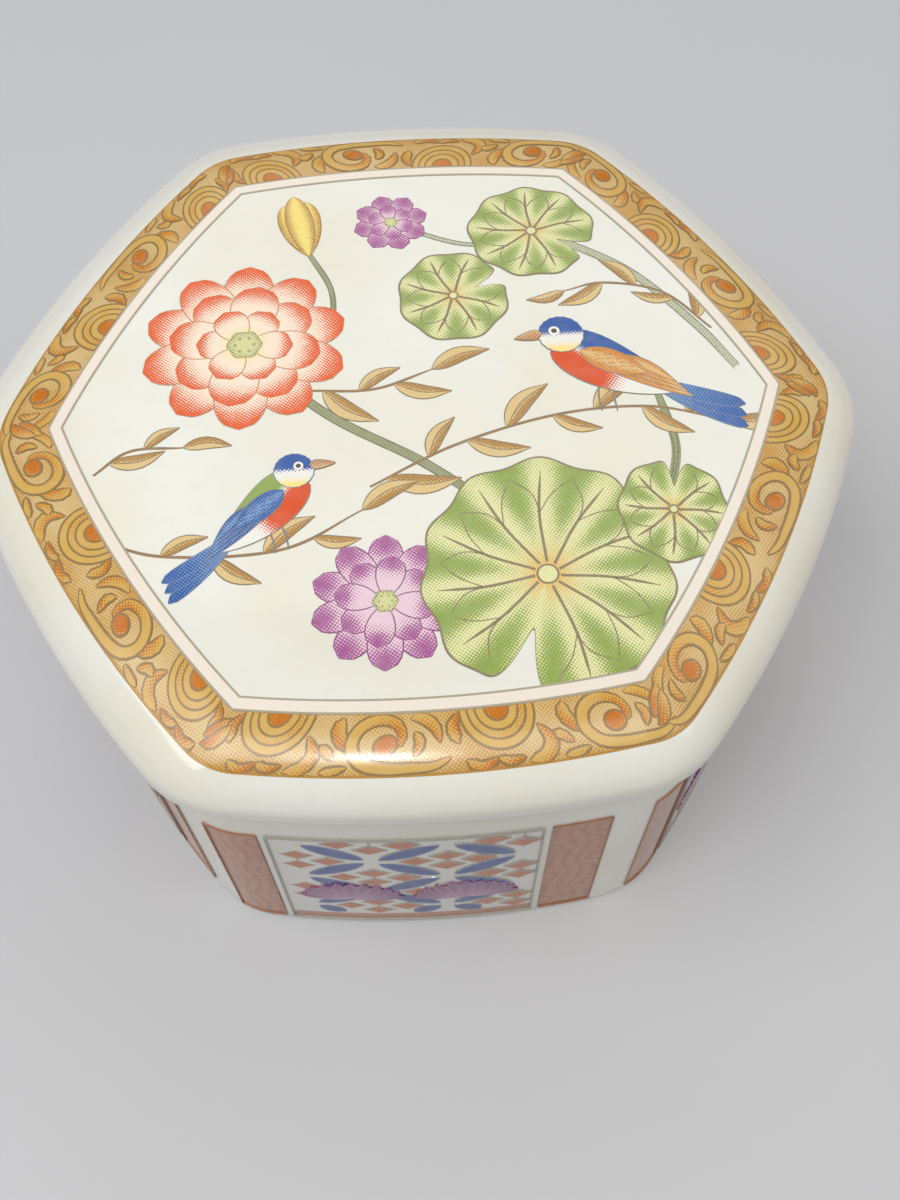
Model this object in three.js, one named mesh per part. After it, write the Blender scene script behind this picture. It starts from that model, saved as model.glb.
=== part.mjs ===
// Porcelain trinket box: a six-sided base and the lid that lifts off it.
// Millimetres, +Z up. The origin is the centre of the foot, and flat sides face -Y and +Y.
//
// Both pieces share one outline: a hexagon whose sides bow outward and whose corners are round.
// A profile point is (reach, height), where reach is the distance from the axis to the middle of
// a side. The profile is turned round the axis, and shapeToOutline then moves each vertex in or
// out, so that every ring follows the outline.

import * as THREE from 'three';

// Outline at the lid's widest ring
const SIDES = 6;
const LID_REACH = 49.6;
const SIDE_RADIUS = 138;
const CORNER_RADIUS = 14;

// Straight steps in one turn of the outline, and in each rounded part of a profile
const OUTLINE_STEPS = 72;
const SHOULDER_STEPS = 8;
const FIELD_STEPS = 3;
const OUTER_EDGE_STEPS = 3;
const SMALL_EDGE_STEPS = 2;
const FLOOR_FILLET_STEPS = 4;
const UNDERSIDE_FILLET_STEPS = 3;

// Heights
const TOTAL_HEIGHT = 53;
const LID_RIM_HEIGHT = 8.2;
const SEAT_GAP = 0.3;
const LID_SEAT = TOTAL_HEIGHT - LID_RIM_HEIGHT;
const BASE_RIM = LID_SEAT - SEAT_GAP;

// Lid
const SHOULDER_WIDTH = 12.5;
const SHOULDER_DROP = 5.9;
const CROWN = 0.5;
const LID_THICKNESS = 4;
const LID_EDGE_RADIUS = 0.6;
const FLANGE_CLEARANCE = 0.7;
const FLANGE_WALL = 2.8;
const FLANGE_DEPTH = 3.8;
const FLANGE_EDGE_RADIUS = 0.7;
const UNDERSIDE_FILLET = 3;

// Base
const BASE_INSET = 2;
const WALL = 4;
const FLOOR_TOP = 4.6;
const FLOOR_FILLET = 4;
const RIM_EDGE_RADIUS = 0.8;
const FOOT_EDGE_RADIUS = 1.4;
const FOOT_WIDTH = 3.6;
const FOOT_RECESS = 1.1;
const FOOT_STEP = 0.5;

// Lengths worked out from those above
const BASE_REACH = LID_REACH - BASE_INSET;
const MOUTH_REACH = BASE_REACH - WALL;
const FLANGE_REACH = MOUTH_REACH - FLANGE_CLEARANCE;
const HOLLOW_REACH = FLANGE_REACH - FLANGE_WALL;
const FIELD_REACH = LID_REACH - SHOULDER_WIDTH;
const LID_HOLLOW_TOP = TOTAL_HEIGHT - LID_THICKNESS;

const HALF_TURN = Math.PI;
const QUARTER_TURN = Math.PI / 2;
const HALF_SECTOR = Math.PI / SIDES;

// ---- Outline ----

const sideCentre = LID_REACH - SIDE_RADIUS;
const cornerCentre = sideCentre * Math.cos(HALF_SECTOR)
  + Math.sqrt((SIDE_RADIUS - CORNER_RADIUS) ** 2 - (sideCentre * Math.sin(HALF_SECTOR)) ** 2);

// Distance from the axis to an arc of the given radius, whose centre lies at the given distance
// along a direction that is turned away by the given angle.
function reachToArc(centre, angle, radius) {
  const across = centre * Math.sin(angle);
  return centre * Math.cos(angle) + Math.sqrt(Math.max(radius ** 2 - across ** 2, 0));
}

// Angle, measured from the middle of a side, where the side's arc meets the corner's arc.
function cornerStart(sideRadius) {
  const dx = cornerCentre * Math.cos(HALF_SECTOR) - sideCentre;
  const dy = cornerCentre * Math.sin(HALF_SECTOR);
  const scale = sideRadius / Math.hypot(dx, dy);
  return Math.atan2(dy * scale, sideCentre + dx * scale);
}

// Distance from the axis to the ring of the given reach, in the direction of the given angle.
// Rings nearer the axis than the corner arcs' centres are that smallest ring, scaled down.
function ringRadius(angle, reach) {
  const smallest = LID_REACH - CORNER_RADIUS;
  const offsetReach = Math.max(reach, smallest);
  const inset = LID_REACH - offsetReach;
  const sector = 2 * HALF_SECTOR;
  const fromMiddle = Math.abs(angle - sector * Math.round(angle / sector));
  const onSide = fromMiddle <= cornerStart(SIDE_RADIUS - inset) || inset >= CORNER_RADIUS;
  const radius = onSide
    ? reachToArc(sideCentre, fromMiddle, SIDE_RADIUS - inset)
    : reachToArc(cornerCentre, HALF_SECTOR - fromMiddle, CORNER_RADIUS - inset);
  return radius * (reach / offsetReach);
}

function shapeToOutline(geometry) {
  const position = geometry.attributes.position;
  for (let i = 0; i < position.count; i += 1) {
    const x = position.getX(i);
    const y = position.getY(i);
    const reach = Math.hypot(x, y);
    if (reach > 0) {
      const scale = ringRadius(Math.atan2(x, -y), reach) / reach;
      position.setXY(i, x * scale, y * scale);
    }
  }
  geometry.computeVertexNormals();
}

// ---- Profiles ----

// Points of a quarter of an ellipse, or part of one, between two angles from the +reach axis.
function arc(reach, height, radiusReach, radiusHeight, from, to, steps) {
  const points = [];
  for (let i = 0; i <= steps; i += 1) {
    const angle = from + (to - from) * i / steps;
    const x = reach + radiusReach * Math.cos(angle);
    const y = height + radiusHeight * Math.sin(angle);
    points.push(new THREE.Vector2(x, y));
  }
  return points;
}

function roundEdge(reach, height, radius, from, steps) {
  return arc(reach, height, radius, radius, from, from + QUARTER_TURN, steps);
}

// A fillet turns the other way, because it is on the hollow side of the profile.
function fillet(reach, height, radius, from, steps) {
  return arc(reach, height, radius, radius, from, from - QUARTER_TURN, steps);
}

// Height of the lid's outer surface: a slight crown, and an elliptical shoulder outside the field.
function lidTopHeight(reach) {
  const across = Math.max(0, (reach - FIELD_REACH) / SHOULDER_WIDTH);
  const crownDrop = CROWN * (reach / LID_REACH) ** 2;
  const shoulderDrop = SHOULDER_DROP * (1 - Math.sqrt(Math.max(1 - across ** 2, 0)));
  return TOTAL_HEIGHT - crownDrop - shoulderDrop;
}

function shoulderAndTop() {
  const points = [];
  for (let i = 0; i <= SHOULDER_STEPS; i += 1) {
    const angle = QUARTER_TURN * (1 - i / SHOULDER_STEPS);
    const reach = FIELD_REACH + SHOULDER_WIDTH * Math.sin(angle);
    points.push(new THREE.Vector2(reach, lidTopHeight(reach)));
  }
  for (let i = FIELD_STEPS - 1; i >= 0; i -= 1) {
    const reach = FIELD_REACH * i / FIELD_STEPS;
    points.push(new THREE.Vector2(reach, lidTopHeight(reach)));
  }
  return points;
}

function baseProfile() {
  const footInner = BASE_REACH - FOOT_EDGE_RADIUS - FOOT_WIDTH;
  const footEdge = BASE_REACH - FOOT_EDGE_RADIUS;
  const rimEdge = BASE_RIM - RIM_EDGE_RADIUS;
  const outerEdge = BASE_REACH - RIM_EDGE_RADIUS;
  const innerEdge = MOUTH_REACH + RIM_EDGE_RADIUS;
  const floorCentre = FLOOR_TOP + FLOOR_FILLET;
  return [
    new THREE.Vector2(0, FOOT_RECESS),
    new THREE.Vector2(footInner - FOOT_STEP, FOOT_RECESS),
    new THREE.Vector2(footInner, 0),
    ...roundEdge(footEdge, FOOT_EDGE_RADIUS, FOOT_EDGE_RADIUS, -QUARTER_TURN, OUTER_EDGE_STEPS),
    ...roundEdge(outerEdge, rimEdge, RIM_EDGE_RADIUS, 0, OUTER_EDGE_STEPS),
    ...roundEdge(innerEdge, rimEdge, RIM_EDGE_RADIUS, QUARTER_TURN, SMALL_EDGE_STEPS),
    ...fillet(MOUTH_REACH - FLOOR_FILLET, floorCentre, FLOOR_FILLET, 0, FLOOR_FILLET_STEPS),
    new THREE.Vector2(0, FLOOR_TOP),
  ];
}

function lidProfile() {
  const flangeFoot = LID_SEAT - FLANGE_DEPTH + FLANGE_EDGE_RADIUS;
  const innerFlange = HOLLOW_REACH + FLANGE_EDGE_RADIUS;
  const outerFlange = FLANGE_REACH - FLANGE_EDGE_RADIUS;
  const hollowEdge = HOLLOW_REACH - UNDERSIDE_FILLET;
  const hollowCentre = LID_HOLLOW_TOP - UNDERSIDE_FILLET;
  const rimEdge = LID_REACH - LID_EDGE_RADIUS;
  const rimCentre = LID_SEAT + LID_EDGE_RADIUS;
  return [
    new THREE.Vector2(0, LID_HOLLOW_TOP),
    ...fillet(hollowEdge, hollowCentre, UNDERSIDE_FILLET, QUARTER_TURN, UNDERSIDE_FILLET_STEPS),
    ...roundEdge(innerFlange, flangeFoot, FLANGE_EDGE_RADIUS, HALF_TURN, SMALL_EDGE_STEPS),
    ...roundEdge(outerFlange, flangeFoot, FLANGE_EDGE_RADIUS, -QUARTER_TURN, SMALL_EDGE_STEPS),
    new THREE.Vector2(FLANGE_REACH, LID_SEAT),
    ...roundEdge(rimEdge, rimCentre, LID_EDGE_RADIUS, -QUARTER_TURN, SMALL_EDGE_STEPS),
    ...shoulderAndTop(),
  ];
}

// ---- Pieces ----

const GLAZE_ROUGHNESS = 0.12;

function glazedPorcelain(color) {
  return new THREE.MeshStandardMaterial({ color, roughness: GLAZE_ROUGHNESS, metalness: 0 });
}

function turnedPiece(name, profile, color) {
  const geometry = new THREE.LatheGeometry(profile, OUTLINE_STEPS);
  geometry.rotateX(QUARTER_TURN);
  shapeToOutline(geometry);
  const piece = new THREE.Mesh(geometry, glazedPorcelain(color));
  piece.name = name;
  return piece;
}

const box = new THREE.Group();
box.add(turnedPiece('box_base', baseProfile(), '#e3e1d4'));
box.add(turnedPiece('lid', lidProfile(), '#e8e6da'));

export default box;
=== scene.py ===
"""Six-sided porcelain trinket box with a lift-off lid and printed enamel decoration.

The glazed bodies are turned profiles shaped to a hexagon with bowed sides, as fine versions of the
CAD nodes. The decoration is a set of thin raised enamel shapes that lie on the glaze. Shapes are
drawn in millimetres on a flat plane, and a placing function lays each point on the porcelain.
"""

import math
from functools import cache

import bpy
import numpy as np
from mathutils import Matrix, Vector


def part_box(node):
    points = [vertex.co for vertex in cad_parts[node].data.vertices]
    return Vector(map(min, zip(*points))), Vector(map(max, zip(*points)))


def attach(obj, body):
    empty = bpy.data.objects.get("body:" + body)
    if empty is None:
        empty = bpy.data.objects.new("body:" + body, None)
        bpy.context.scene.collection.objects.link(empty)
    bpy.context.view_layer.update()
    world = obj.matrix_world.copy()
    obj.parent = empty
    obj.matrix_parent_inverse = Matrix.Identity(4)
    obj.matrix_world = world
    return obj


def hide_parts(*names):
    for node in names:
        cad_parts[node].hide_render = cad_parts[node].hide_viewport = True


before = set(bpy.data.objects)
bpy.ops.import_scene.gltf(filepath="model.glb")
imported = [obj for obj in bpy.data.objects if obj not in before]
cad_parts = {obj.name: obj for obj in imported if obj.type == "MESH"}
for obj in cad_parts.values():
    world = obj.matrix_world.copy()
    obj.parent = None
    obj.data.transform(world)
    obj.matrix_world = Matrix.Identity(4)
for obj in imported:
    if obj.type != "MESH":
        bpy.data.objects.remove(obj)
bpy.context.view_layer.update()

MM = 0.001

# ---- Sizes, in millimetres, from the frame and the same rules as the CAD profiles ----

lid_low, lid_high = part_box("lid")
_, base_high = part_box("box_base")

SIDES = 6
SECTOR = 2 * math.pi / SIDES
LID_REACH = lid_high.y / MM
BASE_REACH = base_high.y / MM
TOTAL_HEIGHT = lid_high.z / MM
BASE_RIM = base_high.z / MM
FLANGE_BOTTOM = lid_low.z / MM

SIDE_RADIUS = 138.0
CORNER_RADIUS = 14.0

LID_RIM_HEIGHT = 8.2
LID_SEAT = TOTAL_HEIGHT - LID_RIM_HEIGHT
SHOULDER_WIDTH = 12.5
SHOULDER_DROP = 5.9
CROWN = 0.5
FIELD_REACH = LID_REACH - SHOULDER_WIDTH
LID_THICKNESS = 4.0
LID_HOLLOW_TOP = TOTAL_HEIGHT - LID_THICKNESS
LID_EDGE_RADIUS = 0.6
UNDERSIDE_FILLET = 3.0
FLANGE_EDGE_RADIUS = 0.7
FLANGE_CLEARANCE = 0.7
FLANGE_WALL = 2.8

WALL = 4.0
MOUTH_REACH = BASE_REACH - WALL
FLANGE_REACH = MOUTH_REACH - FLANGE_CLEARANCE
HOLLOW_REACH = FLANGE_REACH - FLANGE_WALL
FLOOR_TOP = 4.6
FLOOR_FILLET = 4.0
RIM_EDGE_RADIUS = 0.8
FOOT_EDGE_RADIUS = 1.4
FOOT_WIDTH = 3.6
FOOT_RECESS = 1.1
FOOT_STEP = 0.5

OUTLINE_STEPS = 576
SHOULDER_STEPS = 40
FIELD_STEPS = 8
EDGE_STEPS = 8
WALL_STEPS = 12
SHARP_ANGLE = math.radians(38)

# ---- Decoration: sizes in millimetres ----

DECAL_SHIFT = (0.40, -1.66)
DECAL_TURN = math.radians(1.15)
FIELD_EDGE = 37.1
FIELD_BOW = 132.0
FRAME_EDGE = 38.5
BAND_EDGE = 44.8
BAND_CORNER = 8.0
BAND_WIDTH = BAND_EDGE - FRAME_EDGE
BAND_MARGIN = 0.2
MOTIFS_PER_SIDE = 4
LINE_WIDTH = 0.3
FINE_LINE = 0.2
THIN_LINE = 0.15

# Enamel is stacked in levels, so that shapes that overlap can lie at different heights.
LEAF_LEVEL = 4
BUD_LEVEL = 12
BIRD_LEVEL = 24
FRAME_LEVEL = 26
MOTIF_LEVELS = (16, 4)
CORNER_LEVEL = 26
ENAMEL_LIFT = 0.012
LEVEL_STEP = 0.0025
COARSE_LEVEL_STEP = 0.004
SINK = 0.012
SKIRT = 0.03
TINY = 1e-9
SLOPE_STEP = 0.01
NARROWEST = 0.05
ROW_SPACING = 0.7
CURVE_STEPS = 16
FEWEST_ROWS = 6
FADE = 0.2


def srgb(red, green, blue):
    """A colour given in 8-bit sRGB, as the linear values that shaders use."""
    parts = np.array([red, green, blue]) / 255
    return np.where(parts <= 0.04045, parts / 12.92, ((parts + 0.055) / 1.055) ** 2.4)


GLAZE = srgb(233, 232, 224)
GLAZE_POOL = srgb(228, 225, 208)
BARE = srgb(222, 212, 194)
DARK_LINE = srgb(140, 118, 90)
PETAL_LINE = srgb(190, 140, 100)
GREY_LINE = srgb(134, 130, 122)
FRAME_LINE = srgb(172, 163, 143)
STRIP = srgb(236, 226, 212)
YELLOW = srgb(247, 222, 120)
PEACH = srgb(252, 226, 204)
ORANGE_RED = srgb(216, 76, 0)
LOTUS_RED = srgb(226, 88, 14)
ORANGE = srgb(206, 124, 30)
LEAF_GOLD = srgb(222, 194, 134)
LEAF_BROWN = srgb(170, 124, 58)
FEATHER_WHITE = srgb(236, 234, 226)
STEM_GREEN = srgb(158, 162, 122)
STEM_PALE = srgb(198, 200, 172)
STEM_SHADE = srgb(116, 120, 86)
LEAF_CREAM = srgb(229, 226, 170)
LEAF_GREEN = srgb(142, 164, 78)
POD = srgb(214, 212, 150)
BLUE = srgb(44, 88, 160)
SOFT_BLUE = srgb(122, 156, 196)
GREY_BLUE = srgb(120, 136, 160)
PURPLE = srgb(166, 92, 148)
PALE_PURPLE = srgb(232, 204, 214)
LILY = srgb(124, 66, 116)
LILY_PALE = srgb(190, 150, 182)
HALO = srgb(232, 176, 84)
VEIN = srgb(140, 126, 96)
BAND_GOLD = srgb(194, 142, 60)
BAND_LIGHT = srgb(212, 184, 128)
BAND_YELLOW = srgb(210, 170, 88)
BAND_ORANGE = srgb(196, 112, 24)
BAND_LINE = srgb(146, 118, 76)
RUST = srgb(184, 124, 88)
RUST_SHADE = srgb(160, 104, 74)
DIAMOND = srgb(188, 104, 58)
PANEL_BLUE = srgb(34, 70, 142)
PANEL_WHITE = srgb(222, 220, 214)
PANEL_LINE = srgb(162, 158, 150)

# A pen is a line's colour and width.
BAND_PEN = (BAND_LINE, 0.3)
FEATHER_PEN = (GREY_LINE, THIN_LINE)
LATTICE_PEN = (PANEL_LINE, 0.14)


# ---- The outline ----

class Hexagon:
    """Six equal sides that bow outward, with round corners. Angles start at the middle of the
    front side and grow anticlockwise, seen from above."""

    def __init__(self, reach, bow, corner=0.0):
        self.reach = reach
        self.bow = bow
        self.corner = corner
        self.side_centre = reach - bow
        across = self.side_centre * math.sin(SECTOR / 2)
        along = self.side_centre * math.cos(SECTOR / 2)
        self.corner_centre = along + math.sqrt((bow - corner) ** 2 - across ** 2)
        self.junction_x = self.corner_centre * math.cos(SECTOR / 2) - self.side_centre
        self.junction_y = self.corner_centre * math.sin(SECTOR / 2)

    def from_middle(self, angle):
        return np.abs(angle - SECTOR * np.round(angle / SECTOR))

    def radius(self, angle, reach=None):
        """Distance from the axis to the ring of the given reach. Rings nearer the axis than the
        corner arcs' centres are the smallest ring, scaled down."""
        reach = np.asarray(self.reach if reach is None else reach, float)
        offset_reach = np.maximum(reach, self.reach - self.corner)
        inset = self.reach - offset_reach
        turn = self.from_middle(angle)
        scale = (self.bow - inset) / math.hypot(self.junction_x, self.junction_y)
        start = np.arctan2(self.junction_y * scale, self.side_centre + self.junction_x * scale)
        on_side = reach_to_arc(self.side_centre, turn, self.bow - inset)
        on_corner = reach_to_arc(self.corner_centre, SECTOR / 2 - turn, self.corner - inset)
        radius = np.where((turn <= start) | (inset >= self.corner), on_side, on_corner)
        return radius * reach / offset_reach

    def reach_at(self, x, y):
        """The reach of the ring through a point: the inverse of radius."""
        angle = np.arctan2(x, -y)
        distance = np.hypot(x, y)
        turn = self.from_middle(angle)
        along = distance * np.cos(turn)
        across = distance * np.sin(turn)
        from_side = np.hypot(along - self.side_centre, across)
        corner_x = self.corner_centre * math.cos(SECTOR / 2)
        corner_y = self.corner_centre * math.sin(SECTOR / 2)
        from_corner = np.hypot(along - corner_x, across - corner_y)
        bearing = np.arctan2(across, along - self.side_centre)
        corner_bearing = math.atan2(self.junction_y, self.junction_x)
        side_reach = self.reach - self.bow + from_side
        corner_reach = self.reach - self.corner + from_corner
        reach = np.where(bearing <= corner_bearing, side_reach, corner_reach)
        smallest = self.reach - self.corner
        scaled = smallest * distance / self.radius(angle, smallest)
        return np.where(scaled < smallest, scaled, np.maximum(reach, smallest))


def reach_to_arc(centre, angle, radius):
    """Distance from the axis to an arc, in a direction turned away from the arc's centre."""
    across = centre * np.sin(angle)
    return centre * np.cos(angle) + np.sqrt(np.maximum(radius ** 2 - across ** 2, 0))


LID_OUTLINE = Hexagon(LID_REACH, SIDE_RADIUS, CORNER_RADIUS)
FIELD_OUTLINE = Hexagon(FIELD_EDGE, FIELD_BOW)
FRAME_OUTLINE = Hexagon(FRAME_EDGE, FIELD_BOW)
BAND_OUTLINE = Hexagon(BAND_EDGE, FIELD_BOW, BAND_CORNER)


def lid_height(reach):
    """Height of the lid's outer surface at a reach from the axis."""
    across = np.clip((reach - FIELD_REACH) / SHOULDER_WIDTH, 0, 1)
    crown_drop = CROWN * (reach / LID_REACH) ** 2
    shoulder_drop = SHOULDER_DROP * (1 - np.sqrt(1 - across ** 2))
    return TOTAL_HEIGHT - crown_drop - shoulder_drop


# ---- Porcelain bodies ----

def arc(reach, height, radius, start, turn):
    angles = start + turn * np.arange(EDGE_STEPS + 1) / EDGE_STEPS
    return [(reach + radius * math.cos(a), height + radius * math.sin(a)) for a in angles]


def round_edge(reach, height, radius, start):
    return arc(reach, height, radius, start, math.pi / 2)


def fillet(reach, height, radius, start):
    return arc(reach, height, radius, start, -math.pi / 2)


def straight(start, end, steps):
    """Points strictly between two profile points."""
    shares = np.arange(1, steps) / steps
    return [(start[0] + (end[0] - start[0]) * s, start[1] + (end[1] - start[1]) * s) for s in shares]


def base_profile():
    foot_inner = BASE_REACH - FOOT_EDGE_RADIUS - FOOT_WIDTH
    outside_low = (BASE_REACH, FOOT_EDGE_RADIUS)
    rim_edge = BASE_RIM - RIM_EDGE_RADIUS
    outside_high = (BASE_REACH, rim_edge)
    inside_high = (MOUTH_REACH, rim_edge)
    inside_low = (MOUTH_REACH, FLOOR_TOP + FLOOR_FILLET)
    return [
        (0, FOOT_RECESS),
        *straight((0, FOOT_RECESS), (foot_inner - FOOT_STEP, FOOT_RECESS), FIELD_STEPS),
        (foot_inner - FOOT_STEP, FOOT_RECESS),
        (foot_inner, 0),
        *round_edge(BASE_REACH - FOOT_EDGE_RADIUS, FOOT_EDGE_RADIUS, FOOT_EDGE_RADIUS, -math.pi / 2),
        *straight(outside_low, outside_high, WALL_STEPS),
        *round_edge(BASE_REACH - RIM_EDGE_RADIUS, rim_edge, RIM_EDGE_RADIUS, 0),
        *round_edge(MOUTH_REACH + RIM_EDGE_RADIUS, rim_edge, RIM_EDGE_RADIUS, math.pi / 2),
        *straight(inside_high, inside_low, WALL_STEPS),
        *fillet(MOUTH_REACH - FLOOR_FILLET, FLOOR_TOP + FLOOR_FILLET, FLOOR_FILLET, 0),
        *straight((MOUTH_REACH - FLOOR_FILLET, FLOOR_TOP), (0, FLOOR_TOP), FIELD_STEPS),
        (0, FLOOR_TOP),
    ]


def lid_profile():
    flange_foot = FLANGE_BOTTOM + FLANGE_EDGE_RADIUS
    hollow_flat = HOLLOW_REACH - UNDERSIDE_FILLET
    edge = LID_SEAT + LID_EDGE_RADIUS
    angles = np.pi / 2 * np.arange(SHOULDER_STEPS + 1) / SHOULDER_STEPS
    shoulder = FIELD_REACH + SHOULDER_WIDTH * np.cos(angles)
    field = FIELD_REACH * np.arange(FIELD_STEPS - 1, -1, -1) / FIELD_STEPS
    return [
        (0, LID_HOLLOW_TOP),
        *straight((0, LID_HOLLOW_TOP), (hollow_flat, LID_HOLLOW_TOP), FIELD_STEPS),
        *fillet(hollow_flat, LID_HOLLOW_TOP - UNDERSIDE_FILLET, UNDERSIDE_FILLET, math.pi / 2),
        *round_edge(HOLLOW_REACH + FLANGE_EDGE_RADIUS, flange_foot, FLANGE_EDGE_RADIUS, math.pi),
        *round_edge(FLANGE_REACH - FLANGE_EDGE_RADIUS, flange_foot, FLANGE_EDGE_RADIUS, -math.pi / 2),
        (FLANGE_REACH, LID_SEAT),
        *round_edge(LID_REACH - LID_EDGE_RADIUS, edge, LID_EDGE_RADIUS, -math.pi / 2),
        *[(reach, float(lid_height(reach))) for reach in shoulder],
        *[(reach, float(lid_height(reach))) for reach in field],
    ]


def mesh_object(name, points, faces):
    """A smooth-shaded mesh object from points in metres."""
    mesh = bpy.data.meshes.new(name)
    mesh.from_pydata(points.tolist(), [], faces)
    mesh.shade_smooth()
    mesh.set_sharp_from_angle(angle=SHARP_ANGLE)
    piece = bpy.data.objects.new(name, mesh)
    bpy.context.scene.collection.objects.link(piece)
    return piece


def turned_body(name, profile, bare_zone):
    """A profile turned round the axis and shaped to the lid's outline. bare_zone says which
    faces, by reach and height, are left without glaze."""
    angles = 2 * math.pi * np.arange(OUTLINE_STEPS) / OUTLINE_STEPS
    points = [np.array([[0, 0, profile[0][1]]])]
    for reach, height in profile[1:-1]:
        radius = LID_OUTLINE.radius(angles, reach)
        heights = np.full(OUTLINE_STEPS, height)
        points.append(np.column_stack([radius * np.sin(angles), -radius * np.cos(angles), heights]))
    points.append(np.array([[0, 0, profile[-1][1]]]))
    rings = len(profile) - 2
    last = rings * OUTLINE_STEPS + 1
    faces = []
    bare = []
    for j in range(OUTLINE_STEPS):
        k = (j + 1) % OUTLINE_STEPS
        faces.append((0, 1 + k, 1 + j))
        bare.append(False)
        top = 1 + (rings - 1) * OUTLINE_STEPS
        faces.append((last, top + j, top + k))
        bare.append(False)
    for i in range(rings - 1):
        reach = (profile[i + 1][0] + profile[i + 2][0]) / 2
        height = (profile[i + 1][1] + profile[i + 2][1]) / 2
        low = 1 + i * OUTLINE_STEPS
        high = low + OUTLINE_STEPS
        for j in range(OUTLINE_STEPS):
            k = (j + 1) % OUTLINE_STEPS
            faces.append((low + j, low + k, high + k, high + j))
            bare.append(bare_zone(reach, height))
    piece = mesh_object(name, np.vstack(points) * MM, faces)
    piece.data.materials.append(glaze_material())
    piece.data.materials.append(bare_material())
    piece.data.polygons.foreach_set("material_index", [int(b) for b in bare])
    return piece


# ---- Materials: noise scales are per metre on porcelain and per millimetre on enamel ----

GLAZE_IOR = 1.52
GLAZE_ROUGHNESS = 0.085
WAVE_DEPTH = 0.4 * MM
PEEL_DEPTH = 0.04 * MM
BARE_ROUGHNESS = 0.62
GRAIN_DEPTH = 0.05 * MM
ENAMEL_IOR = 1.45
ENAMEL_ROUGHNESS = 0.1
RELIEF_DEPTH = 0.03 * MM
HALFTONE_PITCH = 0.33
HALFTONE_SOFT = 0.16
HALFTONE_ANGLE = math.radians(38)


class Nodes:
    """A short way to build a material's node tree."""

    def __init__(self, name):
        self.material = bpy.data.materials.new(name)
        self.material.use_nodes = True
        self.tree = self.material.node_tree
        self.shader = self.tree.nodes["Principled BSDF"]

    def add(self, kind, inputs=None, **settings):
        node = self.tree.nodes.new("ShaderNode" + kind)
        for name, value in settings.items():
            setattr(node, name, value)
        for key, value in (inputs or {}).items():
            self.feed(node.inputs[key], value)
        return node

    def feed(self, socket, value):
        if isinstance(value, bpy.types.NodeSocket):
            self.tree.links.new(value, socket)
        else:
            socket.default_value = value

    def math(self, operation, *values):
        return self.add("Math", dict(enumerate(values)), operation=operation).outputs[0]

    def scaled(self, value, factor, offset):
        return self.math("MULTIPLY_ADD", value, factor, offset)

    def ramp(self, value, low, high, smooth=True):
        kind = "SMOOTHSTEP" if smooth else "LINEAR"
        inputs = {"Value": value, "From Min": low, "From Max": high}
        return self.add("MapRange", inputs, interpolation_type=kind).outputs["Result"]

    def mix(self, factor, first, second):
        node = self.add("Mix", data_type="RGBA")
        self.feed(node.inputs[0], factor)
        self.feed(node.inputs[6], first)
        self.feed(node.inputs[7], second)
        return node.outputs[2]

    def noise(self, place, scale, detail=2.0):
        return self.add("TexNoise", {"Vector": place, "Scale": scale, "Detail": detail}).outputs["Fac"]

    def attribute(self, name, output):
        return self.add("Attribute", attribute_name=name).outputs[output]

    def object_place(self):
        return self.add("TexCoord").outputs["Object"]

    def bump(self, height, strength, distance, normal=None):
        node = self.add("Bump", {"Height": height, "Strength": strength, "Distance": distance})
        if normal is not None:
            self.feed(node.inputs["Normal"], normal)
        return node.outputs["Normal"]

    def shade(self, **values):
        for name, value in values.items():
            self.feed(self.shader.inputs[name.replace("_", " ")], value)


def opaque(colour):
    return (*[float(c) for c in colour], 1.0)


@cache
def glaze_material():
    """Clear glaze over white porcelain: faint creamy pooling, slow waves and a fine peel."""
    nodes = Nodes("porcelain_glaze")
    place = nodes.object_place()
    pooling = nodes.ramp(nodes.noise(place, 42.0, 3.0), 0.35, 0.72)
    mottle = nodes.ramp(nodes.noise(place, 420.0, 4.0), 0.45, 0.75)
    colour = nodes.mix(pooling, opaque(GLAZE), opaque(GLAZE_POOL))
    colour = nodes.mix(nodes.math("MULTIPLY", mottle, 0.16), colour, opaque(GLAZE_POOL * 0.94))
    waves = nodes.noise(place, 75.0, 1.0)
    peel = nodes.noise(place, 900.0, 2.0)
    normal = nodes.bump(waves, 0.22, WAVE_DEPTH)
    normal = nodes.bump(peel, 0.06, PEEL_DEPTH, normal)
    haze = nodes.ramp(nodes.noise(place, 160.0, 3.0), 0.3, 0.8)
    roughness = nodes.scaled(haze, 0.05, GLAZE_ROUGHNESS)
    nodes.shade(Base_Color=colour, Roughness=roughness, Normal=normal, IOR=GLAZE_IOR)
    nodes.shade(Coat_Weight=0.35, Coat_Roughness=0.03, Subsurface_Weight=0.08, Subsurface_Scale=0.0015)
    return nodes.material


@cache
def bare_material():
    """Unglazed fired porcelain: matt, slightly warm and grainy."""
    nodes = Nodes("porcelain_bare")
    place = nodes.object_place()
    stain = nodes.ramp(nodes.noise(place, 90.0, 5.0), 0.4, 0.8)
    colour = nodes.mix(stain, opaque(BARE), opaque(BARE * 0.82))
    grain = nodes.noise(place, 3500.0, 3.0)
    roughness = nodes.scaled(grain, 0.25, BARE_ROUGHNESS)
    nodes.shade(Base_Color=colour, Roughness=roughness, Normal=nodes.bump(grain, 0.35, GRAIN_DEPTH))
    return nodes.material


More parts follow.
